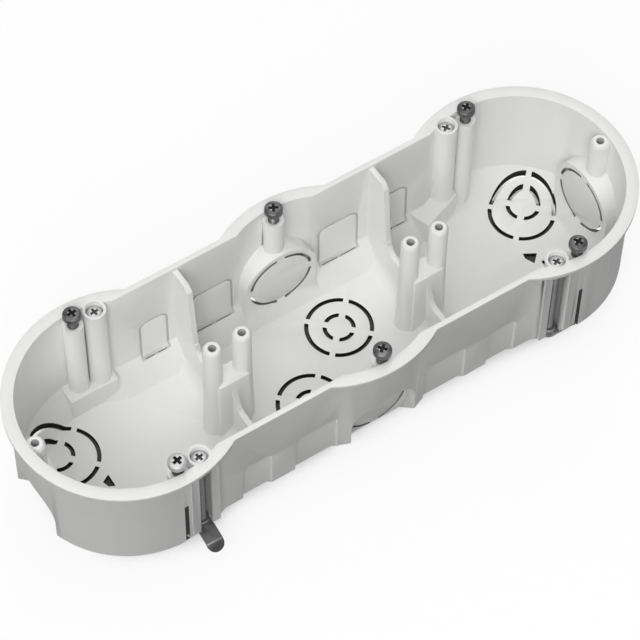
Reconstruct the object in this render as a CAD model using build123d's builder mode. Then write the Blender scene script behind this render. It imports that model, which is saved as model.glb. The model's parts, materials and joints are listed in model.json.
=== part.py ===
from build123d import *
import os
from math import cos, hypot, pi, radians, sin, sqrt

# Triple back box for hollow plasterboard walls. Three round gangs in a row share one moulded tray.
# Origin: middle of the flat underside. +X along the row, +Z towards the open side. Millimetres.

os.makedirs("parts", exist_ok=True)

# Tray
gang_pitch = 71.0
gang_count = 3
lobe_radius = 34.2
side_half_width = 31.2
side_draft = 0.5
wall = 1.7
depth = 47.8
floor_thickness = 1.8
belly_height = 10.4
belly_inset = 7.5
flange_width = 2.2
flange_thickness = 1.4

# Arched conduit entries at both ends and at both sides of the middle gang
entry_radius = 11.6
entry_centre_height = 17.8
entry_setback = 6.8
entry_wall = 1.6
entry_foot_height = 6.6
entry_foot_inset = 4.0

# Knockout rings
wall_ring_radius = 10.9
wall_ring_slot = 1.0
wall_ring_tab = 16.0
floor_ring_radius = 10.4
floor_ring_slot = 1.35
floor_ring_tab = 10.0
inner_ring_radius = 4.6
end_inner_ring_radius = 5.0
inner_ring_tab = 26.0
middle_ring_x = 11.4
middle_ring_y = 9.5
end_ring_x = 14.4
end_ring_y = 14.8
end_inner_ring_shift = 1.9

# Thin square panels in the straight walls
panel_recess = 0.9
panel_top = 27.8
panel_bottom = 8.9
panel_corner = 3.0
panel_groove = 0.8
panel_groove_depth = 0.45
panel_slot = 0.8
panel_tab = 1.4
wide_panel_start = 15.7
wide_panel_width = 15.2
narrow_panel_start = 39.1
narrow_panel_width = 10.4

# Pilot posts on the long axis
post_half_spacing = 30.3
post_radius = 3.0
post_drop = 1.5
post_crown = 1.0
post_crown_radius = 2.3
pilot_radius = 1.3
pilot_depth = 14.0
block_height = 28.2
block_front = 3.8
block_taper = 1.2
end_post_foot = 27.0

# Partition between neighbouring gangs
partition_height = 15.3
partition_thickness = 1.8
partition_flare = 5.0
gusset_height = 27.4
gusset_radius = 4.5
fin_reach = 8.4
fin_foot_reach = 11.4
fin_drop = 1.2
fin_corner = 2.0
fin_foot_radius = 4.5

# Screw posts and clamp tubes along the walls
screw_half_spacing = 30.0
screw_post_radius = 3.2
screw_post_drop = 2.4
screw_bore_depth = 14.0
middle_post_foot = 29.0
clamp_inset = 7.4
clamp_edge_inset = 3.5
clamp_tube_radius = 3.6
clamp_seat_drop = 3.6
clamp_seat_thickness = 1.8
channel_radius = 2.8
channel_behind = 3.0
channel_ahead = 2.2
side_rib_width = 2.6
side_rib_rise = 0.5
side_slot_width = 1.4
side_slot_depth = 1.0
side_slot_top = 30.8
foot_notch_depth = 1.0
foot_notch_rise = 1.6
pocket_ceiling = 9.9
pocket_shell = 1.2
pocket_gap = 0.35

# Small openings in the floor, placed from the middle of an end gang
left_key_hole = ((-9.1, 1.2), (-6.4, 2.7), (-6.5, -1.9), (-8.4, -1.1))
right_key_hole = ((5.4, 1.4), (9.4, -0.9), (6.5, -3.7), (5.0, -0.6))
slit_x = 9.2
slit_y = -6.0
slit_length = 3.4
slit_width = 0.9

# Device screw
screw_head_radius = 2.9
screw_head_height = 2.3
screw_head_rise = 4.0
screw_head_edge = 0.5
screw_shank_radius = 1.75
screw_tip_gap = 1.0
recess_width = 0.9
recess_depth = 1.1
recess_share = 0.62

# Clamp screw
clamp_head_radius = 2.5
clamp_head_height = 2.0
clamp_head_edge = 0.4
clamp_shank_radius = 1.5
clamp_tip_drop = 2.4

# Claw
claw_width = 5.4
claw_bend_reach = 8.4
claw_tip_length = 3.6
claw_tip_bend = 50.0
claw_thickness = 1.2
claw_ridge = 0.3
claw_collar_radius = 2.4
claw_collar_height = 2.0
claw_top = 9.2
claw_lean = 20.0
claw_past_square = 5.0
claw_swung_now = 113.5

# Clearances
running_gap = 0.07
body_gap = 0.3
cut_margin = 2.0

# Values worked out from the sizes above
gang_xs = [gang_pitch * (i - (gang_count - 1) / 2) for i in range(gang_count)]
post_xs = [x + side * post_half_spacing for x in gang_xs for side in (-1, 1)]
end_x = gang_xs[-1]
partition_xs = [(a + b) / 2 for a, b in zip(gang_xs, gang_xs[1:])]
flange_radius = lobe_radius + flange_width
entry_face = lobe_radius - entry_setback
knee_half_width = side_half_width - side_draft
straight_inside = side_half_width - wall
lobe_inside = lobe_radius - wall
belly_slope = belly_inset / belly_height
knee_rise = (hypot(belly_inset, belly_height) - belly_height) / belly_inset
inside_knee = belly_height + wall * knee_rise
inside_inset = (inside_knee - floor_thickness) * belly_slope
foot_slope = entry_foot_inset / entry_foot_height
entry_inside = entry_face - entry_wall
foot_rise = entry_wall * (hypot(entry_foot_inset, entry_foot_height) - entry_foot_height) / entry_foot_inset
clamp_x = end_x - clamp_inset
clamp_offset = sqrt((lobe_radius - clamp_edge_inset) ** 2 - clamp_inset**2)
post_top = depth - post_drop
screw_post_top = depth - screw_post_drop
clamp_seat_top = depth - clamp_seat_drop
clamp_head_bottom = clamp_seat_top + body_gap
clamp_bore_radius = clamp_shank_radius + running_gap
clamp_tip = claw_top - claw_thickness - clamp_tip_drop
pocket_half_width = claw_width / 2 + pocket_gap
pocket_reach = claw_bend_reach + claw_tip_length * cos(radians(claw_tip_bend)) + 2 * pocket_gap
full_swing = 90 + claw_past_square

# Every clamp has its place, the turn of its local frame, the lean of its parked claw towards the
# middle of the box, and how far its claw has swung out. Claws beside the straight walls lean.
clamps = [
    ("near_left", -clamp_x, -clamp_offset, 0, claw_lean, claw_swung_now),
    ("near_right", clamp_x, -clamp_offset, 0, 0, 0),
    ("far_left", -clamp_x, clamp_offset, 180, 0, 0),
    ("far_right", clamp_x, clamp_offset, 180, claw_lean, 0),
]
screw_sites = [
    (side + "_" + name, x, sign * screw_half_spacing)
    for side, sign in (("near", -1), ("far", 1))
    for name, x in zip(("left", "middle", "right"), gang_xs)
]


# Three revolved lobes joined by a straight trough with slightly leaning sides and a slanted foot.
def tray_solid(radius, half_width, inset, low, knee, high):
    knee_half = half_width - side_draft
    with BuildPart() as solid:
        with BuildSketch(Plane.YZ):
            with BuildLine():
                Polyline(
                    (inset - knee_half, low),
                    (knee_half - inset, low),
                    (knee_half, knee),
                    (half_width, high),
                    (-half_width, high),
                    (-knee_half, knee),
                    close=True,
                )
            make_face()
        extrude(amount=end_x, both=True)
        for x in gang_xs:
            with BuildSketch(Plane.XZ):
                with BuildLine():
                    Polyline(
                        (x, low),
                        (x + radius - inset, low),
                        (x + radius, knee),
                        (x + radius, high),
                        (x, high),
                        close=True,
                    )
                make_face()
            revolve(axis=Axis((x, 0, 0), (0, 0, 1)))
    return solid.part


# An arch pushed outwards along +Y from a face that leans back towards the underside.
def arch_solid(radius, face, foot_height, low):
    reach = lobe_radius + cut_margin
    slope_end = face - foot_slope * (foot_height - low)
    with BuildPart() as solid:
        with BuildSketch(Plane.XZ):
            with Locations((0, entry_centre_height)):
                Circle(radius)
            with Locations((0, (entry_centre_height + low) / 2)):
                Rectangle(2 * radius, entry_centre_height - low)
        extrude(amount=-reach)
        with BuildSketch(Plane.YZ):
            with BuildLine():
                Polyline(
                    (face, depth),
                    (face, foot_height),
                    (slope_end, low),
                    (reach, low),
                    (reach, depth),
                    close=True,
                )
            make_face()
        extrude(amount=radius, both=True, mode=Mode.INTERSECT)
    return solid.part


# Four arc slots on one circle, with a tab left between neighbours.
def ring_sketch(radius, slot, tab_angle, first_tab):
    tab = 2 * pi * radius * tab_angle / 360
    with BuildSketch() as ring:
        Circle(radius + slot / 2)
        Circle(radius - slot / 2, mode=Mode.SUBTRACT)
        with PolarLocations(radius, 4, start_angle=first_tab):
            Rectangle(2 * slot, tab, mode=Mode.SUBTRACT)
    return ring.sketch


def polar(distance, angle):
    return Vector(distance * cos(radians(angle)), distance * sin(radians(angle)))


# Outline of a claw pocket in the local frame of a clamp: outwards is -Y, the parked claw leans to +Y.
def pocket_sketch(lean, grow):
    half = pocket_half_width + grow
    reach = pocket_reach + grow
    out_angle = -full_swing
    parked_side = lean + 90
    out_side = out_angle + 270
    corner = half / cos(radians((out_side - parked_side) / 2))
    with BuildSketch() as outline:
        with BuildLine():
            Polyline(
                polar(half, out_side) + polar(lobe_radius, out_angle),
                polar(corner, (out_side + parked_side) / 2),
                polar(half, parked_side) + polar(reach, lean),
                (reach, half / 2),
                (reach, -lobe_radius),
                close=True,
            )
        make_face()
    return outline.sketch


# A pilot post on the Z axis, with a coned crown.
def post_solid(foot):
    with BuildPart() as solid:
        with BuildSketch(Plane.XZ):
            with BuildLine():
                Polyline(
                    (0, foot),
                    (post_radius, foot),
                    (post_radius, post_top - post_crown),
                    (post_crown_radius, post_top),
                    (0, post_top),
                    close=True,
                )
            make_face()
        revolve(axis=Axis.Z)
    return solid.part


# Upright panel outline with rounded upper corners, from a low edge to a high edge.
def panel_sketch(width, low, high, corner):
    with BuildSketch() as outline:
        with Locations((0, (low + high - corner) / 2)):
            Rectangle(width, high - low - corner)
        with Locations((0, high - corner)):
            Rectangle(width - 2 * corner, 2 * corner)
        with Locations((corner - width / 2, high - corner), (width / 2 - corner, high - corner)):
            Circle(corner)
    return outline.sketch


# Profile across the straight wall on the +Y side, between two depths measured in from its face.
def wall_band(near, far):
    near_knee = belly_height + near * knee_rise
    far_knee = belly_height + far * knee_rise
    return (
        (knee_half_width - near - near_knee * belly_slope, 0),
        (knee_half_width - near, near_knee),
        (side_half_width - near, depth),
        (side_half_width - far, depth),
        (knee_half_width - far, far_knee),
        (knee_half_width - far - far_knee * belly_slope, 0),
    )


# An outline drawn in XZ, pushed through one layer of the straight wall on the +Y side.
def wall_layer(outline, near, far):
    with BuildPart() as layer:
        with BuildSketch(Plane.XZ):
            add(outline)
        extrude(amount=-side_half_width - cut_margin)
        with BuildSketch(Plane.YZ):
            with BuildLine():
                Polyline(*wall_band(near, far), close=True)
            make_face()
        extrude(amount=gang_pitch, both=True, mode=Mode.INTERSECT)
    return layer.part


# What one square panel takes out of the wall: thinned outside, a groove inside, two slots at the foot.
def panel_cutter(width):
    slot_length = (width - 3 * panel_tab) / 2
    slot_x = (slot_length + panel_tab) / 2
    slot_z = panel_bottom + panel_slot / 2
    with BuildSketch() as groove:
        add(panel_sketch(width, panel_bottom, panel_top, panel_corner))
        add(
            panel_sketch(
                width - 2 * panel_groove,
                panel_bottom + panel_groove,
                panel_top - panel_groove,
                panel_corner - panel_groove,
            ),
            mode=Mode.SUBTRACT,
        )
    with BuildSketch() as slots:
        with Locations((-slot_x, slot_z), (slot_x, slot_z)):
            Rectangle(slot_length, panel_slot)
    with BuildPart() as cutter:
        add(wall_layer(panel_sketch(width, 0, panel_top, panel_corner), -cut_margin, panel_recess))
        add(wall_layer(groove.sketch, wall - panel_groove_depth, wall + cut_margin))
        add(wall_layer(slots.sketch, -cut_margin, wall + cut_margin))
    return cutter.part


outer_tray = tray_solid(lobe_radius, side_half_width, belly_inset, 0, belly_height, depth)
inner_tray = tray_solid(
    lobe_inside, straight_inside, inside_inset, floor_thickness, inside_knee, depth + cut_margin
)
entry_boss = arch_solid(entry_radius + entry_wall, entry_inside, entry_foot_height + foot_rise, 0)
entry_cut = arch_solid(entry_radius, entry_face, entry_foot_height, -cut_margin)
entry_places = [
    Location((0, 0, 0), (0, 0, 0)),
    Location((0, 0, 0), (0, 0, 180)),
    Location((end_x, 0, 0), (0, 0, -90)),
    Location((-end_x, 0, 0), (0, 0, 90)),
]

# Everything that stands inside the tray, kept within the outer surface at the end.
with BuildPart() as inside:
    for place in entry_places:
        with Locations(place):
            add(entry_boss)

    for x in partition_xs:
        base = partition_thickness + 2 * partition_flare
        with BuildSketch(Plane.XZ):
            with Locations((x, partition_height / 2)):
                Rectangle(partition_thickness, partition_height)
            with Locations((x, (floor_thickness + partition_flare) / 2)):
                Rectangle(base, floor_thickness + partition_flare)
            with Locations(
                (x - base / 2, floor_thickness + partition_flare),
                (x + base / 2, floor_thickness + partition_flare),
            ):
                Circle(partition_flare, mode=Mode.SUBTRACT)
        extrude(amount=side_half_width, both=True)

        # Concave gussets from the block to the partition, near and far
        gusset_foot = block_front + gusset_radius
        gusset_rise = gusset_height - partition_height
        with BuildSketch(Plane.YZ.offset(x)):
            with Locations((0, gusset_height / 2)):
                Rectangle(2 * gusset_foot, gusset_height)
            with Locations((-gusset_foot, gusset_height), (gusset_foot, gusset_height)):
                Ellipse(gusset_radius, gusset_rise, mode=Mode.SUBTRACT)
        extrude(amount=partition_thickness / 2, both=True)

        # Tall fin on the far wall, with a leaning edge and a rounded foot on the partition
        fin_edge = straight_inside - fin_reach
        fin_foot = straight_inside - fin_foot_reach
        fin_top = depth - fin_drop
        with BuildSketch(Plane.YZ.offset(x)):
            with BuildLine():
                Polyline(
                    (side_half_width, 0),
                    (side_half_width, fin_top),
                    (fin_edge + fin_corner, fin_top),
                    (fin_edge, fin_top - fin_corner),
                    (fin_foot, partition_height),
                    (fin_foot, 0),
                    close=True,
                )
            make_face()
            with Locations((fin_foot, partition_height)):
                Rectangle(2 * fin_foot_radius, 2 * fin_foot_radius)
            with Locations((fin_foot - fin_foot_radius, partition_height + fin_foot_radius)):
                Circle(fin_foot_radius, mode=Mode.SUBTRACT)
        extrude(amount=partition_thickness / 2, both=True)

        # Shared block under the pair of posts, with a flat ledge in front
        pair_gap = gang_pitch - 2 * post_half_spacing
        with BuildSketch(Plane.XY.offset(block_height)):
            with Locations((x, 0)):
                SlotCenterToCenter(pair_gap, 2 * post_radius)
            with Locations((x, -block_front / 2)):
                Rectangle(pair_gap, block_front)
        extrude(amount=-block_height, taper=-block_taper)

    # Pilot posts: the four inner ones rise from the blocks, the two end ones from the entry arches
    for x in post_xs:
        foot = end_post_foot if abs(x) > end_x else block_height - cut_margin
        with Locations((x, 0, 0)):
            add(post_solid(foot))

    # Posts for the device screws
    for name, x, y in screw_sites:
        foot = middle_post_foot if x == 0 else 0
        with BuildSketch(Plane.XY.offset(foot)):
            with Locations((x, y)):
                Circle(screw_post_radius)
        extrude(amount=screw_post_top - foot)

    # Clamp tubes, and the shells that house the parked claws
    for name, x, y, turn, lean, swung in clamps:
        with BuildSketch():
            with Locations((x, y)):
                Circle(clamp_tube_radius)
        extrude(amount=depth)
        with BuildSketch():
            with Locations(Location((x, y, 0), (0, 0, turn))):
                add(pocket_sketch(lean, pocket_shell))
        extrude(amount=pocket_ceiling + pocket_shell)

    add(outer_tray, mode=Mode.INTERSECT)

with BuildPart() as box_body:
    add(outer_tray)
    with BuildSketch(Plane.XY.offset(depth - flange_thickness)):
        with Locations(*[(x, 0) for x in gang_xs]):
            Circle(flange_radius)
    extrude(amount=flange_thickness)
    add(inner_tray, mode=Mode.SUBTRACT)
    add(inside.part)

    # Upright ribs on both sides of every clamp channel
    for name, x, y, turn, lean, swung in clamps:
        for edge in (-channel_behind - side_rib_width / 2, channel_ahead + side_rib_width / 2):
            rib_x = x + edge * cos(radians(turn))
            rib_from_gang = abs(abs(rib_x) - end_x)
            rib_y = sqrt(lobe_radius**2 - rib_from_gang**2) * y / abs(y)
            with BuildSketch(Plane.XY.offset(belly_height)):
                with Locations((rib_x, rib_y)):
                    Rectangle(side_rib_width, 2 * side_rib_rise)
            extrude(amount=depth - belly_height)

    # Arched entries with their knockout rings
    for place in entry_places:
        with Locations(place):
            add(entry_cut, mode=Mode.SUBTRACT)
    ring_reach = entry_face + cut_margin / 2
    for place in entry_places:
        with BuildSketch(Plane(place) * Plane.XZ.offset(-ring_reach)):
            with Locations((0, entry_centre_height)):
                add(ring_sketch(wall_ring_radius, wall_ring_slot, wall_ring_tab, 0))
        extrude(amount=entry_wall + cut_margin, mode=Mode.SUBTRACT)

    # Floor knockouts: two in the middle gang, one in each end gang with its inner ring off centre
    with BuildSketch(Plane.XY.offset(-cut_margin)):
        for side in (-1, 1):
            middle_ring = (side * middle_ring_x, side * middle_ring_y)
            end_ring = (side * (end_x + end_ring_x), end_ring_y)
            shift = end_inner_ring_shift
            end_inner_ring = (side * (end_x + end_ring_x + shift), end_ring_y + shift)
            with Locations(middle_ring, end_ring):
                add(ring_sketch(floor_ring_radius, floor_ring_slot, floor_ring_tab, 45))
            with Locations(middle_ring):
                add(ring_sketch(inner_ring_radius, floor_ring_slot, inner_ring_tab, 45))
            with Locations(end_inner_ring):
                add(ring_sketch(end_inner_ring_radius, floor_ring_slot, inner_ring_tab, 45))
        for hole, centre in ((left_key_hole, -end_x), (right_key_hole, end_x)):
            with BuildLine():
                Polyline(*[(centre + x, y) for x, y in hole], close=True)
            make_face()
        with Locations((end_x + slit_x, slit_y)):
            Rectangle(slit_width, slit_length)
    extrude(amount=inside_knee + cut_margin, mode=Mode.SUBTRACT)

    # Square panels in both straight walls
    for start, width in ((wide_panel_start, wide_panel_width), (narrow_panel_start, narrow_panel_width)):
        cutter = panel_cutter(width)
        for x in (-start - width / 2, start + width / 2):
            with Locations(Location((x, 0, 0)), Location((x, 0, 0), (0, 0, 180))):
                add(cutter, mode=Mode.SUBTRACT)

    # Pilot holes and device screw bores
    with Locations(*[(x, 0, post_top - pilot_depth / 2) for x in post_xs]):
        Cylinder(pilot_radius, pilot_depth, mode=Mode.SUBTRACT)
    with BuildSketch(Plane.XY.offset(screw_post_top)):
        with Locations(*[(x, y) for name, x, y in screw_sites]):
            Circle(screw_shank_radius + running_gap)
    extrude(amount=-screw_bore_depth, mode=Mode.SUBTRACT)

    # Clamp tubes: head bore, seat hole, channel open to the outside, claw pocket, slot and foot notch
    for name, x, y, turn, lean, swung in clamps:
        out = y / abs(y)
        with BuildSketch(Plane.XY.offset(clamp_seat_top)):
            with Locations((x, y)):
                Circle(clamp_head_radius + body_gap)
        extrude(amount=depth - clamp_seat_top, mode=Mode.SUBTRACT)
        with BuildSketch():
            with Locations((x, y)):
                Circle(clamp_bore_radius)
        extrude(amount=depth, mode=Mode.SUBTRACT)
        with BuildSketch():
            with Locations(Location((x, y, 0), (0, 0, turn))):
                Circle(channel_radius)
                with Locations(((channel_ahead - channel_behind) / 2, -lobe_radius / 2)):
                    Rectangle(channel_ahead + channel_behind, lobe_radius)
        extrude(amount=clamp_seat_top - clamp_seat_thickness, mode=Mode.SUBTRACT)
        with BuildSketch(Plane.XY.offset(-cut_margin)):
            with Locations(Location((x, y, 0), (0, 0, turn))):
                add(pocket_sketch(lean, 0))
        extrude(amount=pocket_ceiling + cut_margin, mode=Mode.SUBTRACT)
        gang_x = end_x * x / abs(x)
        with BuildSketch():
            with Locations((gang_x, lobe_radius * out)):
                Rectangle(side_slot_width, 2 * side_slot_depth)
        extrude(amount=side_slot_top, mode=Mode.SUBTRACT)
        with BuildSketch():
            with Locations(((x + gang_x) / 2, out * lobe_radius)):
                Rectangle(clamp_inset, lobe_radius)
            with Locations((gang_x, 0)):
                Circle(lobe_radius - foot_notch_depth, mode=Mode.SUBTRACT)
        extrude(amount=belly_height + foot_notch_rise, mode=Mode.SUBTRACT)

box_body.part.label = "box_body"
export_step(box_body.part, "parts/box_body.step")


# A screw standing on the Z axis: plain shank, chamfered round head, cross recess.
def screw_solid(shank_radius, tip, head_radius, head_bottom, head_top, head_edge):
    with BuildPart() as solid:
        with BuildSketch(Plane.XZ):
            with BuildLine():
                Polyline(
                    (0, tip),
                    (shank_radius, tip),
                    (shank_radius, head_bottom),
                    (head_radius, head_bottom),
                    (head_radius, head_top - head_edge),
                    (head_radius - head_edge, head_top),
                    (0, head_top),
                    close=True,
                )
            make_face()
        revolve(axis=Axis.Z)
        recess_length = 2 * head_radius * recess_share
        with BuildSketch(Plane.XY.offset(head_top)):
            Rectangle(recess_length, recess_width)
            Rectangle(recess_width, recess_length)
        extrude(amount=-recess_depth, mode=Mode.SUBTRACT)
    return solid.part


screw_head_top = depth + screw_head_rise
device_screw_shape = screw_solid(
    screw_shank_radius,
    screw_post_top - screw_bore_depth + screw_tip_gap,
    screw_head_radius,
    screw_head_top - screw_head_height,
    screw_head_top,
    screw_head_edge,
)
for name, x, y in screw_sites:
    with BuildPart() as device_screw:
        with Locations((x, y, 0)):
            add(device_screw_shape)
    device_screw.part.label = "device_screw_" + name
    export_step(device_screw.part, "parts/device_screw_" + name + ".step")

clamp_screw_shape = screw_solid(
    clamp_shank_radius,
    clamp_tip,
    clamp_head_radius,
    clamp_head_bottom,
    clamp_head_bottom + clamp_head_height,
    clamp_head_edge,
)
for name, x, y, turn, lean, swung in clamps:
    with BuildPart() as clamp_screw:
        with Locations((x, y, 0)):
            add(clamp_screw_shape)
    clamp_screw.part.label = "clamp_screw_" + name
    export_step(clamp_screw.part, "parts/clamp_screw_" + name + ".step")

# Claw: a strip with a low ridge along it, a round tip bent down, and a threaded collar on the screw axis
claw_half = claw_width / 2
claw_bottom = claw_top - claw_thickness
tip_direction = (cos(radians(claw_tip_bend)), 0, -sin(radians(claw_tip_bend)))
tip_normal = (sin(radians(claw_tip_bend)), 0, cos(radians(claw_tip_bend)))
with BuildPart() as claw_shape:
    with BuildSketch(Plane.YZ):
        with BuildLine():
            Polyline(
                (-claw_half, claw_bottom),
                (claw_half, claw_bottom),
                (claw_half, claw_top),
                (0, claw_top + claw_ridge),
                (-claw_half, claw_top),
                close=True,
            )
        make_face()
    extrude(amount=claw_bend_reach)
    with BuildSketch(Plane((claw_bend_reach, 0, claw_top), tip_direction, tip_normal)):
        with Locations(((claw_tip_length - claw_half) / 2, 0)):
            Rectangle(claw_tip_length - claw_half, claw_width)
        with Locations((claw_tip_length - claw_half, 0)):
            Circle(claw_half)
            with Locations((-claw_half, 0)):
                Rectangle(claw_width, claw_width, mode=Mode.SUBTRACT)
    extrude(amount=-claw_thickness)
    with BuildSketch(Plane.XY.offset(claw_bottom)):
        Circle(claw_half)
    extrude(amount=claw_thickness)
    with BuildSketch(Plane.XY.offset(claw_top)):
        Circle(claw_collar_radius)
    extrude(amount=claw_collar_height)
    with BuildSketch():
        Circle(clamp_bore_radius)
    extrude(amount=depth, mode=Mode.SUBTRACT)

for name, x, y, turn, lean, swung in clamps:
    with BuildPart() as claw:
        with Locations(Location((x, y, 0), (0, 0, turn + lean - swung))):
            add(claw_shape.part)
    claw.part.label = "claw_" + name
    export_step(claw.part, "parts/claw_" + name + ".step")
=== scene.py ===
import bpy
import json
from math import cos, hypot, pi, radians, sin
from mathutils import Matrix, Vector


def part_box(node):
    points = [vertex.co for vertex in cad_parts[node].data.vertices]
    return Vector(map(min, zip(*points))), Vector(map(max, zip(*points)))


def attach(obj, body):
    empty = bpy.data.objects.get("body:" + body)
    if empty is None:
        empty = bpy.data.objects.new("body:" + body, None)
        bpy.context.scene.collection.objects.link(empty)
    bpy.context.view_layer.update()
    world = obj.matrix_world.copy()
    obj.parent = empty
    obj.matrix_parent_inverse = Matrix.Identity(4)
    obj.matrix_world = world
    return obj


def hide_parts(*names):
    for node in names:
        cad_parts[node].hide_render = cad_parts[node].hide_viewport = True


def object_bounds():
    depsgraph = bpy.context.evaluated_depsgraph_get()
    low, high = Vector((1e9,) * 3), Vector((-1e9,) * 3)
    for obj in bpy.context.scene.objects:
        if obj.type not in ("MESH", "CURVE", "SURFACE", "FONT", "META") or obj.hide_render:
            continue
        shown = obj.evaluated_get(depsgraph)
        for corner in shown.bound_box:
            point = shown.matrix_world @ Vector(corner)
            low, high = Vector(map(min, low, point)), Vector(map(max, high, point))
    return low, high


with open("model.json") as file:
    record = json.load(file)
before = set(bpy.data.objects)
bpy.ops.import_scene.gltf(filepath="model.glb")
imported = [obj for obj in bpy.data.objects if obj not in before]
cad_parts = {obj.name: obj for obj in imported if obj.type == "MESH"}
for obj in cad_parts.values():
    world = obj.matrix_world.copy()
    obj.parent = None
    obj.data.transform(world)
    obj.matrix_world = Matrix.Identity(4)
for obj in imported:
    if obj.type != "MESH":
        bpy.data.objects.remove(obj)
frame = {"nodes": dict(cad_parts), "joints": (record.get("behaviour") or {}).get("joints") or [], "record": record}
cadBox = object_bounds()
scene = bpy.context.scene
mm = 0.001


# A shader socket that can be used in ordinary sums
class Wire:
    def __init__(self, graph, socket):
        self.graph = graph
        self.socket = socket

    def _sum(self, kind, first, second):
        return self.graph.node("ShaderNodeMath", {"operation": kind}, {0: first, 1: second})

    def __add__(self, other): return self._sum("ADD", self, other)
    def __radd__(self, other): return self._sum("ADD", other, self)
    def __sub__(self, other): return self._sum("SUBTRACT", self, other)
    def __rsub__(self, other): return self._sum("SUBTRACT", other, self)
    def __mul__(self, other): return self._sum("MULTIPLY", self, other)
    def __rmul__(self, other): return self._sum("MULTIPLY", other, self)


# One material's node tree, with a method that makes any node
class Graph:
    def __init__(self, name):
        self.material = bpy.data.materials.new(name)
        self.material.use_nodes = True
        self.tree = self.material.node_tree
        self.tree.nodes.clear()

    def node(self, kind, settings=None, inputs=None, output=0):
        made = self.tree.nodes.new(kind)
        for key, value in (settings or {}).items():
            if key == "stops":
                ramp = made.color_ramp
                while len(ramp.elements) < len(value):
                    ramp.elements.new(0.5)
                for element, (place, tone) in zip(ramp.elements, value):
                    element.position = place
                    element.color = (tone, tone, tone, 1)
            else:
                setattr(made, key, value)
        for key, value in (inputs or {}).items():
            if isinstance(value, Wire):
                self.tree.links.new(value.socket, made.inputs[key])
            else:
                made.inputs[key].default_value = value
        return Wire(self, made.outputs[output])

    def mix(self, share, low, high):
        return self.node("ShaderNodeMix", {"data_type": "RGBA"}, {0: share, 6: low, 7: high}, 2)

    def noise(self, scale, detail=3, roughness=0.55, stretch=None):
        where = self.node("ShaderNodeTexCoord", output=3)
        if stretch:
            where = self.node("ShaderNodeMapping", inputs={0: where, 3: stretch})
        return self.node(
            "ShaderNodeTexNoise",
            inputs={"Vector": where, "Scale": scale, "Detail": detail, "Roughness": roughness},
        )

    def ramp(self, value, stops):
        return self.node("ShaderNodeValToRGB", {"stops": stops}, {0: value})

    def bump(self, strength, distance, height):
        return self.node(
            "ShaderNodeBump", inputs={"Strength": strength, "Distance": distance, "Height": height}
        )

    def surface(self, shader):
        out = self.tree.nodes.new("ShaderNodeOutputMaterial")
        self.tree.links.new(shader.socket, out.inputs[0])
        return self.material

    def finish(self, **sockets):
        named = {key.replace("_", " "): value for key, value in sockets.items()}
        return self.surface(self.node("ShaderNodeBsdfPrincipled", inputs=named))


def paint(piece, *materials):
    if len(piece.data.materials):  # clearing an empty list would still reset the faces' finishes
        piece.data.materials.clear()
    for material in materials:
        piece.data.materials.append(material)


def addPiece(name, mesh):
    piece = bpy.data.objects.new(name, mesh)
    scene.collection.objects.link(piece)
    return piece


def roundEdges(piece, name, width, angle):
    rounding = piece.modifiers.new(name, "BEVEL")
    rounding.width = width
    rounding.segments = 2
    rounding.limit_method = "ANGLE"
    rounding.angle_limit = radians(angle)
    return rounding


# Camera: the photograph's viewing angle
print("camera")
view = {
    "place": (-285.1 * mm, -421.2 * mm, 814.0 * mm),
    "back": (-0.3028, -0.4510, 0.8396),
    "roll": 1.133,
    "lens": 172.17,
    "sensor": 36,
    "clipEnd": 20,
}
cameraData = bpy.data.cameras.new("viewCamera")
cameraData.lens = view["lens"]
cameraData.sensor_width = view["sensor"]
cameraData.clip_end = view["clipEnd"]
camera = addPiece("viewCamera", cameraData)
back = Vector(view["back"]).normalized()
right = Vector((0, 0, 1)).cross(back).normalized()
up = back.cross(right)
roll = radians(view["roll"])
rolledRight = cos(roll) * right + sin(roll) * up
rolledUp = cos(roll) * up - sin(roll) * right
turn = Matrix((rolledRight, rolledUp, back)).transposed()
camera.matrix_world = Matrix.Translation(view["place"]) @ turn.to_4x4()
scene.camera = camera


# Housing: satin moulded plastic with softly rounded edges
print("housing")
housingLook = {
    "base": (0.80, 0.80, 0.79, 1),
    "shade": (0.73, 0.73, 0.72, 1),
    "scuff": (0.84, 0.84, 0.83, 1),
    "cloudScale": 28,
    "cloudStops": [(0.35, 0.0), (0.7, 1.0)],
    "cloudShare": 0.35,
    "flowScale": 9,
    "flowStretch": (1, 3, 0.6),
    "flowStops": [(0.3, 0.0), (0.75, 1.0)],
    "flowRough": 0.1,
    "scratchScale": 160,
    "scratchStretch": (1, 1, 6),
    "scratchStops": [(0.66, 0.0), (0.74, 1.0)],
    "scratchShare": 0.25,
    "scratchBump": 0.2,
    "scratchRough": 0.12,
    "grainScale": 900,
    "grainBump": 0.05,
    "grainDepth": 0.2 * mm,
    "roughness": 0.46,
    "shine": 0.4,
    "weldGap": 0.002 * mm,
    "edgeRound": 0.22 * mm,
    "edgeAngle": 35,
}


def housingPlastic():
    g = Graph("housingPlastic")
    look = housingLook
    cloud = g.ramp(g.noise(look["cloudScale"], 4), look["cloudStops"])
    flow = g.ramp(g.noise(look["flowScale"], 2, 0.4, look["flowStretch"]), look["flowStops"])
    scratch = g.ramp(g.noise(look["scratchScale"], 5, 0.7, look["scratchStretch"]), look["scratchStops"])
    grain = g.noise(look["grainScale"], 3, 0.6)
    colour = g.mix(cloud * look["cloudShare"], look["base"], look["shade"])
    colour = g.mix(scratch * look["scratchShare"], colour, look["scuff"])
    bump = g.bump(look["grainBump"], look["grainDepth"], grain + scratch * look["scratchBump"])
    rough = look["roughness"] + flow * look["flowRough"] + scratch * look["scratchRough"]
    return g.finish(Base_Color=colour, Roughness=rough, Normal=bump, Specular_IOR_Level=look["shine"])


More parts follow.
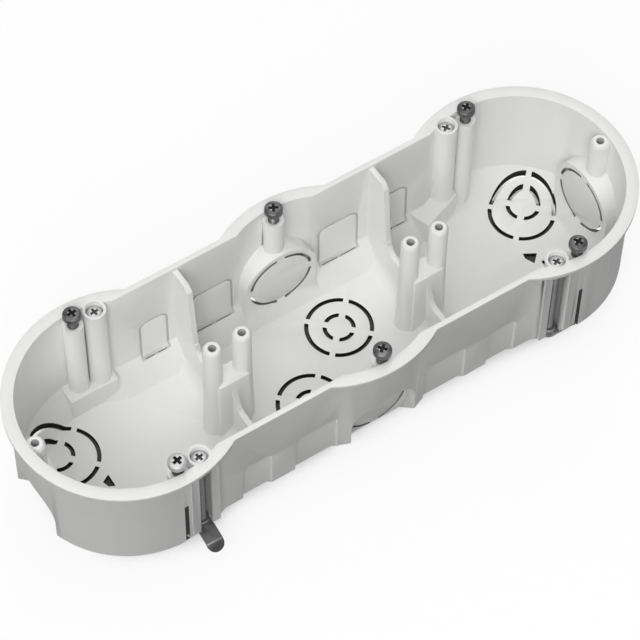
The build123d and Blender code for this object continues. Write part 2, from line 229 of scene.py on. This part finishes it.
# Narrow slots, holes and grooves get painted shade: darker copies of the plastic on their faces, where shadow
# falls. Places are in millimetres.
shadowLook = {
    "tones": {
        "dark": (0.03, 0.03, 0.03, 1),
        "deep": (0.11, 0.11, 0.11, 1),
        "dim": (0.24, 0.24, 0.24, 1),
        "bore": (0.45, 0.45, 0.45, 1),
        "faint": (0.60, 0.60, 0.59, 1),
    },
    "speckScale": 700,
    "speckShare": 0.4,
    "speckDarker": 0.8,
    "speckBump": 0.1,
    "speckDepth": 0.1 * mm,
    "speckRough": 0.1,
    "roughness": 0.7,
    "shine": 0.1,
    "edgeOn": 0.4,  # a face runs along an axis when its normal has less than this of it
    "faceOn": 0.9,  # and lies across the axis when its normal has more than this of it
    "outward": 0.9,  # a groove's faces don't turn outwards: y times its part of the normal is less
    "floorRings": [  # middle x and y, radius
        (11.4, 9.5, 10.4), (11.4, 9.5, 4.6), (-11.4, -9.5, 10.4), (-11.4, -9.5, 4.6),
        (85.4, 14.8, 10.4), (87.3, 16.7, 5.0), (-85.4, 14.8, 10.4), (-87.3, 16.7, 5.0),
    ],
    "floorSlot": {"half": 0.76, "top": 11.0},
    "floorHoles": [  # left, right, near, far
        (-80.3, -77.2, -2.1, 2.9), (75.8, 80.6, -3.9, 1.6), (79.6, 80.8, -7.9, -4.1),
    ],
    "floorHoleTop": 2.2,
    "boreMargin": 0.1,
    "boreTopMargin": 0.05,
    "sideSlot": {"half": 0.75, "near": 33, "far": 34.3, "top": 30.9},
    "wallRing": {"height": 17.8, "radius": 10.9, "half": 0.58, "near": 25, "far": 28},
    "panels": [(15.7, 30.9), (39.1, 49.5)],  # start and end along the wall
    "panelHeights": (8.9, 27.8),
    "panelMargin": 0.05,
    "panelWall": {"near": 27, "far": 31},
    "grooveDepths": (0.9, 1.66),
    "grooveSlotTop": 9.74,
    "wall": {"at": 30.7, "knee": 10.4, "footSlope": 0.72, "draft": 0.0134},
}

# Where the pilot holes are, from the frame's own mounts: x, y, top and radius
patterns = [mount for mount in frame["record"]["mounts"] if mount["kind"] == "bolt_pattern"]
endX = max(mount["pos_m"][0] for mount in patterns) / mm
pilotHoles = []
for mount in patterns:
    x, y, top = (part / mm for part in mount["pos_m"])
    apart = mount["dims"]["spacing_x_mm"]
    pilotHoles += [(x + share * apart, y, top, mount["dims"]["hole_r_mm"]) for share in (-0.5, 0.5)]


def inFloorSlot(x, y):
    half = shadowLook["floorSlot"]["half"]
    return any(abs(hypot(x - u, y - v) - radius) < half for u, v, radius in shadowLook["floorRings"])


def inFloorHole(x, y):
    holes = shadowLook["floorHoles"]
    return any(left < x < right and near < y < far for left, right, near, far in holes)


def inPilotHole(x, y, z):
    margin, topMargin = shadowLook["boreMargin"], shadowLook["boreTopMargin"]
    return any(
        z < top - topMargin and hypot(x - u, y - v) < radius + margin for u, v, top, radius in pilotHoles
    )


def inSideSlot(x, y, z):
    slot = shadowLook["sideSlot"]
    return abs(abs(x) - endX) < slot["half"] and slot["near"] < abs(y) < slot["far"] and z < slot["top"]


def inWallRing(x, y, z, normal):
    ring = shadowLook["wallRing"]
    for across, along, facing in ((x, abs(y), normal.y), (y, abs(x) - endX, normal.x)):
        away = abs(hypot(across, z - ring["height"]) - ring["radius"])
        beside = ring["near"] < along < ring["far"] and abs(facing) < shadowLook["edgeOn"]
        if beside and away < ring["half"]:
            return True
    return False


# How deep a place lies under the slanted outer face of the long walls
def underWall(y, z):
    wall = shadowLook["wall"]
    foot = max(wall["knee"] - z, 0) * wall["footSlope"]
    return wall["at"] - foot + max(z - wall["knee"], 0) * wall["draft"] - abs(y)


def inPanelGroove(x, y, z, normal):
    margin, wall = shadowLook["panelMargin"], shadowLook["panelWall"]
    low, high = shadowLook["panelHeights"]
    shallow, deep = shadowLook["grooveDepths"]
    return (
        any(start - margin < abs(x) < end + margin for start, end in shadowLook["panels"])
        and low - margin < z < high + margin
        and wall["near"] < abs(y) < wall["far"]
        and y * normal.y < shadowLook["outward"]
        and shallow < underWall(y, z) < deep
    )


# Which painted shade a face of the housing gets, from its middle in mm and its normal; None keeps the plain
# plastic
def shadowOf(middle, normal):
    look = shadowLook
    x, y, z = middle
    upright = abs(normal.z) < look["edgeOn"]
    if upright and z < look["floorSlot"]["top"] and inFloorSlot(x, y):
        return "dark"
    if upright and 0 < z < look["floorHoleTop"] and inFloorHole(x, y):
        return "dark"
    if upright and inPilotHole(x, y, z):
        return "bore"
    if abs(normal.z) <= look["faceOn"] and inSideSlot(x, y, z):
        return "deep"
    if inWallRing(x, y, z, normal):
        return "dim"
    if inPanelGroove(x, y, z, normal):
        return "dim" if z < look["grooveSlotTop"] and abs(normal.y) < look["edgeOn"] else "faint"
    return None


# A darker copy of the plastic in one tone: painted shade for slot, hole and groove faces
def shadowPlastic(name):
    g = Graph(name + "Shadow")
    look = shadowLook
    tone = look["tones"][name]
    darker = tuple(look["speckDarker"] * part for part in tone[:3]) + (1,)
    speck = g.noise(look["speckScale"], 3)
    colour = g.mix(speck * look["speckShare"], tone, darker)
    bump = g.bump(look["speckBump"], look["speckDepth"], speck)
    rough = look["roughness"] + speck * look["speckRough"]
    return g.finish(Base_Color=colour, Roughness=rough, Normal=bump, Specular_IOR_Level=look["shine"])


housing = frame["nodes"]["box_body"]
# The plain plastic first, then one material of painted shade for each tone
paintedShades = [None] + list(shadowLook["tones"])
paint(housing, housingPlastic(), *[shadowPlastic(name) for name in paintedShades[1:]])
for face in housing.data.polygons:
    middle = housing.matrix_world @ face.center / mm
    face.material_index = paintedShades.index(shadowOf(middle, face.normal))
    face.use_smooth = True
weld = housing.modifiers.new("joinFacets", "WELD")
weld.merge_threshold = housingLook["weldGap"]
soften = roundEdges(housing, "softEdges", housingLook["edgeRound"], housingLook["edgeAngle"])
soften.harden_normals = True


# Metals of the screws and claws
print("metal materials")
metalLook = {
    "deviceScrew": {
        "base": (0.055, 0.055, 0.058, 1), "worn": (0.42, 0.42, 0.42, 1), "metal": 0.75, "rough": 0.34,
    },
    # A lighter copy of the device screw steel: painted highlight on one screw's head
    "brightScrew": {
        "base": (0.40, 0.40, 0.40, 1), "worn": (0.62, 0.62, 0.62, 1), "metal": 0.6, "rough": 0.42,
    },
    "clampScrew": {
        "base": (0.46, 0.46, 0.465, 1), "worn": (0.66, 0.66, 0.66, 1), "metal": 0.6, "rough": 0.42,
    },
    # Painted shade inside the screws' cross recesses: darker copies of the steel
    "darkRecess": {
        "base": (0.03, 0.03, 0.03, 1), "worn": (0.10, 0.10, 0.10, 1), "metal": 0.5, "rough": 0.6,
    },
    "paleRecess": {
        "base": (0.20, 0.20, 0.20, 1), "worn": (0.38, 0.38, 0.38, 1), "metal": 0.6, "rough": 0.5,
    },
    "clampShank": {
        "base": (0.15, 0.15, 0.155, 1), "worn": (0.40, 0.40, 0.40, 1), "metal": 0.6, "rough": 0.5,
    },
    # Painted shade on the claw's bent-down tip: a darker copy of the claw metal
    "clawTip": {
        "base": (0.05, 0.05, 0.052, 1), "worn": (0.16, 0.16, 0.16, 1), "metal": 0.6, "rough": 0.5,
    },
    "claw": {
        "base": (0.16, 0.16, 0.165, 1), "worn": (0.34, 0.34, 0.34, 1), "metal": 0.7, "rough": 0.45,
    },
}
wearLook = {
    "blotchScale": 420,
    "blotchStops": [(0.4, 0.0), (0.72, 1.0)],
    "blotchShare": 0.25,
    "blotchRough": 0.12,
    "scratchScale": 900,
    "scratchStretch": (1, 1, 5),
    "scratchStops": [(0.62, 0.0), (0.72, 1.0)],
    "scratchShare": 0.3,
    "edgeStops": [(0.52, 0.0), (0.6, 1.0)],
    "edgeShare": 0.6,
    "bump": 0.15,
    "bumpDepth": 0.1 * mm,
}


def fastenerMetal(name):
    look, wear = metalLook[name], wearLook
    g = Graph(name + "Steel")
    blotch = g.ramp(g.noise(wear["blotchScale"], 4), wear["blotchStops"])
    scratch = g.ramp(g.noise(wear["scratchScale"], 5, 0.75, wear["scratchStretch"]), wear["scratchStops"])
    edge = g.ramp(g.node("ShaderNodeNewGeometry", output=7), wear["edgeStops"])  # brighter on sharp edges
    colour = g.mix(blotch * wear["blotchShare"] + scratch * wear["scratchShare"], look["base"], look["worn"])
    colour = g.mix(edge * wear["edgeShare"], colour, look["worn"])
    bump = g.bump(wear["bump"], wear["bumpDepth"], blotch * 0.5 + scratch * 0.5)
    rough = look["rough"] + blotch * wear["blotchRough"]
    return g.finish(Base_Color=colour, Metallic=look["metal"], Roughness=rough, Normal=bump)


# A closed mesh through rings of points, lowest ring first, each ring anticlockwise from above
def ringMesh(name, rings):
    count = len(rings[0])
    points = [point for ring in rings for point in ring]
    faces = [tuple(reversed(range(count))), tuple(range(len(points) - count, len(points)))]
    for low in range(0, len(points) - count, count):
        for i in range(count):
            j = (i + 1) % count
            faces.append((low + i, low + j, low + count + j, low + count + i))
    mesh = bpy.data.meshes.new(name)
    mesh.from_pydata(points, [], faces)
    mesh.update()
    return mesh


def addBoolean(piece, name, kind, other):
    change = piece.modifiers.new(name, "BOOLEAN")
    change.operation = kind
    change.solver = "EXACT"
    change.object = other


# Takes the cutter's shape out of the piece and removes the cutter
def carve(piece, cutter):
    addBoolean(piece, "cut", "DIFFERENCE", cutter)
    graph = bpy.context.evaluated_depsgraph_get()
    carved = bpy.data.meshes.new_from_object(piece.evaluated_get(graph))
    piece.modifiers.clear()
    piece.data = carved
    bpy.data.objects.remove(cutter)


def smoothFaces(mesh, angle):
    mesh.shade_smooth()
    mesh.set_sharp_from_angle(angle=radians(angle))


# Screws: domed head with a cross recess, threaded shank, blunt tip. Sizes are in millimetres.
print("screws")
screwLook = {
    "steps": 40,
    "tipRadius": 0.15,
    "taperShare": 0.55,
    "taperTop": 0.5,
    "threadStart": 1.0,
    "threadSpare": 1.2,
    "rowsPerTurn": 6,
    "neckRound": 0.1,
    "neckMargin": 0.05,
    "headRound": 0.15,
    "headSide": 0.14,
    "domeShare": 0.4,
    "domeSteps": 8,
    "flatShare": 0.45,
    "smoothAngle": 32,
}
recessLook = {
    "reach": 0.56,
    "width": 0.38,
    "depth": 1.5,
    "taper": 0.6,
    "flare": 1.04,
    "over": 0.3,
    "paintReach": 0.64,
    "paintFrom": 0.12,
    "paintTo": 2,
}
screwKinds = {
    "device_screw": {"head": 2.3, "shank": 1.75, "pitch": 0.8, "thread": 0.32, "slot": "device_screw_steel"},
    "clamp_screw": {"head": 2.0, "shank": 1.5, "pitch": 0.7, "thread": 0.28, "slot": "clamp_screw_steel"},
}


def circle(radius, height):
    angles = [2 * pi * i / screwLook["steps"] for i in range(screwLook["steps"])]
    return [(radius * cos(angle), radius * sin(angle), height) for angle in angles]


# One row of the helical thread: the radius falls from crest to root and back once a turn
def threadRow(kind, height):
    steps = screwLook["steps"]
    row = []
    for i in range(steps):
        phase = (height / kind["pitch"] - i / steps) % 1
        radius = kind["shank"] - kind["thread"] * (1 - abs(2 * phase - 1))
        angle = 2 * pi * i / steps
        row.append((radius * cos(angle), radius * sin(angle), height))
    return row


def recessCutter(radius, top):
    look = recessLook
    wing = radius * look["reach"]
    half = radius * look["width"] / 2
    corner = [(wing, -half), (wing, half), (half, half)]
    outline = []
    for angle in (0, pi / 2, pi, 3 * pi / 2):
        outline += [(x * cos(angle) - y * sin(angle), x * sin(angle) + y * cos(angle)) for x, y in corner]
    low = [(x * look["taper"], y * look["taper"], top - look["depth"]) for x, y in outline]
    high = [(x * look["flare"], y * look["flare"], top + look["over"]) for x, y in outline]
    return addPiece("recessCutter", ringMesh("recessCutter", [low, high]))


# Which of its three finishes a face of a screw has: 0 head, 1 recess with painted shade, 2 shank
def screwPart(middle, radius, top, neck):
    if middle.z < neck - screwLook["neckMargin"]:
        return 2
    inside = hypot(middle.x, middle.y) < recessLook["paintReach"] * radius
    return 1 if inside and top - recessLook["paintTo"] < middle.z < top - recessLook["paintFrom"] else 0


def makeScrew(kindName, low, high, radius):
    look, kind = screwLook, screwKinds[kindName]
    shank = kind["shank"]
    top = (high - low) / mm
    neck = top - kind["head"]
    side = top - kind["head"] * look["domeShare"]
    threaded = neck - look["threadSpare"]
    rings = [circle(look["tipRadius"], 0), circle(shank * look["taperShare"], look["taperTop"])]
    count = int(threaded / kind["pitch"] * look["rowsPerTurn"])
    rings += [threadRow(kind, look["threadStart"] + threaded * i / count) for i in range(count)]
    rings += [circle(shank - look["neckRound"], neck - look["neckRound"]), circle(shank, neck)]
    rings += [circle(radius - look["headRound"], neck), circle(radius, neck + look["headRound"])]
    rings.append(circle(radius, side - look["headSide"]))
    flat = radius * look["flatShare"]
    for i in range(1, look["domeSteps"] + 1):
        angle = pi / 2 * i / look["domeSteps"]
        rings.append(circle(flat + (radius - flat) * cos(angle), side + (top - side) * sin(angle)))
    piece = addPiece(kindName, ringMesh(kindName, rings))
    carve(piece, recessCutter(radius, top))
    smoothFaces(piece.data, look["smoothAngle"])
    for face in piece.data.polygons:
        face.material_index = screwPart(face.center, radius, top, neck)
    piece.data.transform(Matrix.Diagonal((mm, mm, mm, 1)))
    return piece


screwPaint = {name: fastenerMetal(name) for name in metalLook if not name.startswith("claw")}
# The recess finishes are painted shade
screwFinish = {  # head, recess, shank
    "device": ("deviceScrew", "darkRecess", "deviceScrew"),
    # The bright head is a painted highlight
    "bright": ("brightScrew", "darkRecess", "deviceScrew"),
    "clamp": ("clampScrew", "paleRecess", "clampShank"),
}
# The device screw at this place gets the bright finish, a painted highlight on its head
highlightedScrewPlace = "near_left"
screwTurn = {
    "near_left": 12, "near_middle": 40, "near_right": 25, "far_left": 5, "far_middle": 62, "far_right": 33,
}
screwMesh = {}
for node in sorted(frame["nodes"]):
    kindName = next((name for name in screwKinds if node.startswith(name)), None)
    if not kindName:
        continue
    low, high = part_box(node)
    centre = (low + high) / 2
    if kindName not in screwMesh:
        first = makeScrew(kindName, low.z, high.z, (high.x - low.x) / 2 / mm)
        screwMesh[kindName] = first.data
        bpy.data.objects.remove(first)
    place = node.removeprefix(kindName + "_")
    piece = addPiece(node + "_detail", screwMesh[kindName].copy())
    finish = "clamp" if kindName == "clamp_screw" else "bright" if place == highlightedScrewPlace else "device"
    paint(piece, *[screwPaint[name] for name in screwFinish[finish]])
    spin = Matrix.Rotation(radians(screwTurn[place]), 4, "Z")
    piece.data.transform(Matrix.Translation((centre.x, centre.y, low.z)) @ spin)
    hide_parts(node)
    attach(piece, node)


# Claws: a pressed strip with a low ridge, its round tip bent down, and a collar. Sizes are in millimetres.
print("claws")
clawLook = {
    "halfWidth": 2.7,
    "straightStops": (0, 2, 4, 6, 7.4),
    "bendAt": 8.4,
    "bendRadius": 0.9,
    "bendSteps": 6,
    "tipLength": 3.5,
    "tipBend": 50,
    "tipPaintFrom": 0.2,
    "thickness": 1.2,
    "ridge": 0.3,
    "collarRadius": 2.4,
    "collarHeight": 2.0,
    "collarRound": 0.25,
    "collarFoot": 0.1,
    "collarFootTop": 0.2,
    "collarSink": 0.5,
    "boreRadius": 1.57,
    "boreReach": 4,
    "edgeRound": 0.12,
    "edgeAngle": 40,
    "smoothAngle": 30,
    "steps": 14,
}
clawDirection = {"near_left": -93.5, "near_right": 0, "far_left": 180, "far_right": 200}


# Stations along the claw from its round back end to its round tip: distance, half width
def clawStations():
    look = clawLook
    half, steps, bendSteps = look["halfWidth"], look["steps"], look["bendSteps"]
    centre = look["bendAt"] + look["tipLength"] - half
    arc = [pi / 2 * i / steps for i in range(1, steps)]
    stations = [(-half * cos(angle), half * sin(angle)) for angle in arc]
    stations += [(distance, half) for distance in look["straightStops"]]
    for i in range(bendSteps + 1):
        stations.append((look["bendAt"] + look["bendRadius"] * (i / bendSteps - 0.5), half))
    return stations + [(centre + half * sin(angle), half * cos(angle)) for angle in arc]


# Where a distance along the bent strip lies, and how far it has turned down there
def alongClaw(distance):
    bend = radians(clawLook["tipBend"])
    run = clawLook["bendRadius"]
    start = clawLook["bendAt"] - run / 2
    if distance <= start:
        return distance, 0, 0
    turned = min((distance - start) / run, 1) * bend
    radius = run / bend
    beyond = max(distance - start - run, 0)
    x = start + radius * sin(turned) + beyond * cos(bend)
    z = -radius * (1 - cos(turned)) - beyond * sin(bend)
    return x, z, turned


def clawStrip():
    look = clawLook
    thick = look["thickness"]
    rings = []
    for distance, half in clawStations():
        x, z, turned = alongClaw(distance)
        ridge = look["ridge"] * half / look["halfWidth"]
        section = ((-1, -thick), (-1, 0), (0, ridge), (1, 0), (1, -thick), (0, -thick))
        rings.append([
            (x + sin(turned) * height, side * half, z + cos(turned) * height) for side, height in section
        ])
    return addPiece("strip", ringMesh("strip", rings))


def clawCollar():
    look = clawLook
    radius, height = look["collarRadius"], look["collarHeight"]
    return addPiece("collar", ringMesh("collar", [
        circle(radius - look["collarFoot"], -look["thickness"] * look["collarSink"]),
        circle(radius, look["collarFootTop"]),
        circle(radius, height - look["collarRound"]),
        circle(radius - look["collarRound"], height),
    ]))


def makeClaw(top):
    look = clawLook
    strip, collar = clawStrip(), clawCollar()
    roundEdges(strip, "round", look["edgeRound"], look["edgeAngle"])
    addBoolean(strip, "join", "UNION", collar)
    bore = [circle(look["boreRadius"], side * look["boreReach"]) for side in (-1, 1)]
    carve(strip, addPiece("bore", ringMesh("bore", bore)))
    bpy.data.objects.remove(collar)
    smoothFaces(strip.data, look["smoothAngle"])
    # The bent-down tip gets painted shade, a darker copy of the claw metal
    for face in strip.data.polygons:  # the tip has a darker finish
        face.material_index = 1 if face.center.x > look["bendAt"] + look["tipPaintFrom"] else 0
    strip.data.transform(Matrix.Translation((0, 0, top)) @ Matrix.Diagonal((mm, mm, mm, 1)))
    return strip


clawPaint = fastenerMetal("claw"), fastenerMetal("clawTip")
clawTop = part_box("claw_near_right")[1].z
clawPattern = makeClaw(clawTop - clawLook["collarHeight"] * mm)
for joint in frame["joints"]:
    node = joint["child"]
    if not node.startswith("claw_"):
        continue
    piece = addPiece(node + "_detail", clawPattern.data.copy())
    paint(piece, *clawPaint)
    pivot = Vector(joint["pos_m"])
    spin = Matrix.Rotation(radians(clawDirection[node.removeprefix("claw_")]), 4, "Z")
    piece.data.transform(Matrix.Translation((pivot.x, pivot.y, 0)) @ spin)
    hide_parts(node)
    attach(piece, node)
bpy.data.objects.remove(clawPattern)


# Floor, white surround and soft light
print("stage")
stageLook = {
    "floorSize": 6,
    "floorDrop": 0.03 * mm,
    "floorSeen": 1.0,
    "floorBounce": 0.1,
    "floorGlow": 0.85,
    "shadowReach": 30 * mm,
    "shadowSamples": 12,
    # Ambient occlusion stops for the painted contact shadow, stricter near the end slots
    "openStops": [(0.12, 0.0), (0.34, 1.0)],
    "slotStops": [(0.38, 0.0), (0.52, 1.0)],
    "slotFade": 4,
    "boxFade": 0.3,
    # Circles of painted shadow on the floor in mm: middle x and y, radius
    "paintedShadowUnderBox": [(-71, 0, 23.2), (0, 0, 23.2), (71, 0, 23.2), (11.4, 9.5, 12), (-11.4, -9.5, 12)],
    "paintedShadowNearSlots": [(-83.6, 17.4, 15), (87.2, 17.4, 15)],
    "worldLight": 0.14,
    "lamps": {  # place and size in metres, power in watts
        "leftLamp": ((-1.1, -0.1, 1.3), 1.0, 5.5),
        "topLamp": ((0.1, 0.1, 2.0), 1.2, 11),
        "frontLamp": ((-0.8, -1.0, 1.2), 1.0, 16),
        "backLamp": ((0.9, 1.0, 1.1), 1.0, 6),
    },
}
white = (1, 1, 1, 1)
floorHeight = cadBox[0].z - stageLook["floorDrop"]


# 1 for what the camera sees directly, in metal or through glass, and 0 for light on the object
def seenShare(g):
    paths = g.tree.nodes.new("ShaderNodeLightPath")
    share = Wire(g, paths.outputs["Is Camera Ray"])
    for name in ("Is Glossy Ray", "Is Transmission Ray"):
        other = Wire(g, paths.outputs[name])
        share = g.node("ShaderNodeMath", {"operation": "MAXIMUM"}, {0: share, 1: other})
    return share


# 1 inside any of the circles on the floor, fading out over the last part of each radius
def insideCircles(g, circles, fade):
    place = g.node("ShaderNodeNewGeometry")
    inside = 0.0
    for x, y, radius in circles:
        middle = (x * mm, y * mm, floorHeight)
        gap = g.node("ShaderNodeVectorMath", {"operation": "DISTANCE"}, {0: place, 1: middle}, 1)
        share = g.node(
            "ShaderNodeMath",
            {"operation": "SUBTRACT", "use_clamp": True},
            {0: radius / fade, 1: gap * (1 / (fade * mm))},
        )
        inside = g.node("ShaderNodeMath", {"operation": "MAXIMUM"}, {0: share, 1: inside})
    return inside


# The floor looks white where it sees open sky. Near the box and its slots the glow fades with ambient occlusion, a
# painted contact shadow over the floor's real shadow. Inside the circles under the box the floor turns dark grey,
# painted shadow over the real one. It bounces little light.
def stageMaterial():
    g = Graph("paleFloor")
    look = stageLook
    reach = {"Distance": look["shadowReach"]}
    openSky = g.node("ShaderNodeAmbientOcclusion", {"samples": look["shadowSamples"]}, reach, 1)
    slots = insideCircles(g, look["paintedShadowNearSlots"], look["slotFade"])
    clear = g.ramp(openSky, look["openStops"]) * (1 - slots) + g.ramp(openSky, look["slotStops"]) * slots
    whiteOutsidePaintedShadow = seenShare(g) * clear * (1 - insideCircles(g, look["paintedShadowUnderBox"], look["boxFade"]))
    bounce, seen = (
        g.node("ShaderNodeBsdfDiffuse", inputs={0: (tone, tone, tone, 1)})
        for tone in (look["floorBounce"], look["floorSeen"])
    )
    matt = g.node("ShaderNodeMixShader", inputs={0: whiteOutsidePaintedShadow, 1: bounce, 2: seen})
    glow = g.node("ShaderNodeEmission", inputs={0: white, 1: 1.0})
    return g.surface(g.node("ShaderNodeMixShader", inputs={0: whiteOutsidePaintedShadow * look["floorGlow"], 1: matt, 2: glow}))


half = stageLook["floorSize"] / 2
corners = [(x * half, y * half, floorHeight) for x, y in ((-1, -1), (1, -1), (1, 1), (-1, 1))]
floorMesh = bpy.data.meshes.new("floor")
floorMesh.from_pydata(corners, [], [(0, 1, 2, 3)])
floor = addPiece("floor", floorMesh)
paint(floor, stageMaterial())


# The surround uses the same wrapper on the world's own node tree
class WorldGraph(Graph):
    def __init__(self, world):
        self.tree = world.node_tree
        self.tree.nodes.clear()


world = bpy.data.worlds.new("surround")
scene.world = world
world.use_nodes = True
sky = WorldGraph(world)
dim = sky.node("ShaderNodeBackground", inputs={0: white, 1: stageLook["worldLight"]})
bright = sky.node("ShaderNodeBackground", inputs={0: white, 1: 1.0})
blend = sky.node("ShaderNodeMixShader", inputs={0: seenShare(sky), 1: dim, 2: bright})
worldOut = sky.tree.nodes.new("ShaderNodeOutputWorld")
sky.tree.links.new(blend.socket, worldOut.inputs[0])

for name, (place, size, power) in stageLook["lamps"].items():
    lampData = bpy.data.lights.new(name, "AREA")
    lampData.shape = "SQUARE"
    lampData.size = size
    lampData.energy = power
    lamp = addPiece(name, lampData)
    lamp.location = place
    lamp.rotation_mode = "QUATERNION"
    lamp.rotation_quaternion = (-Vector(place)).to_track_quat("-Z", "Y")  # towards the box

scene.view_settings.view_transform = "Standard"
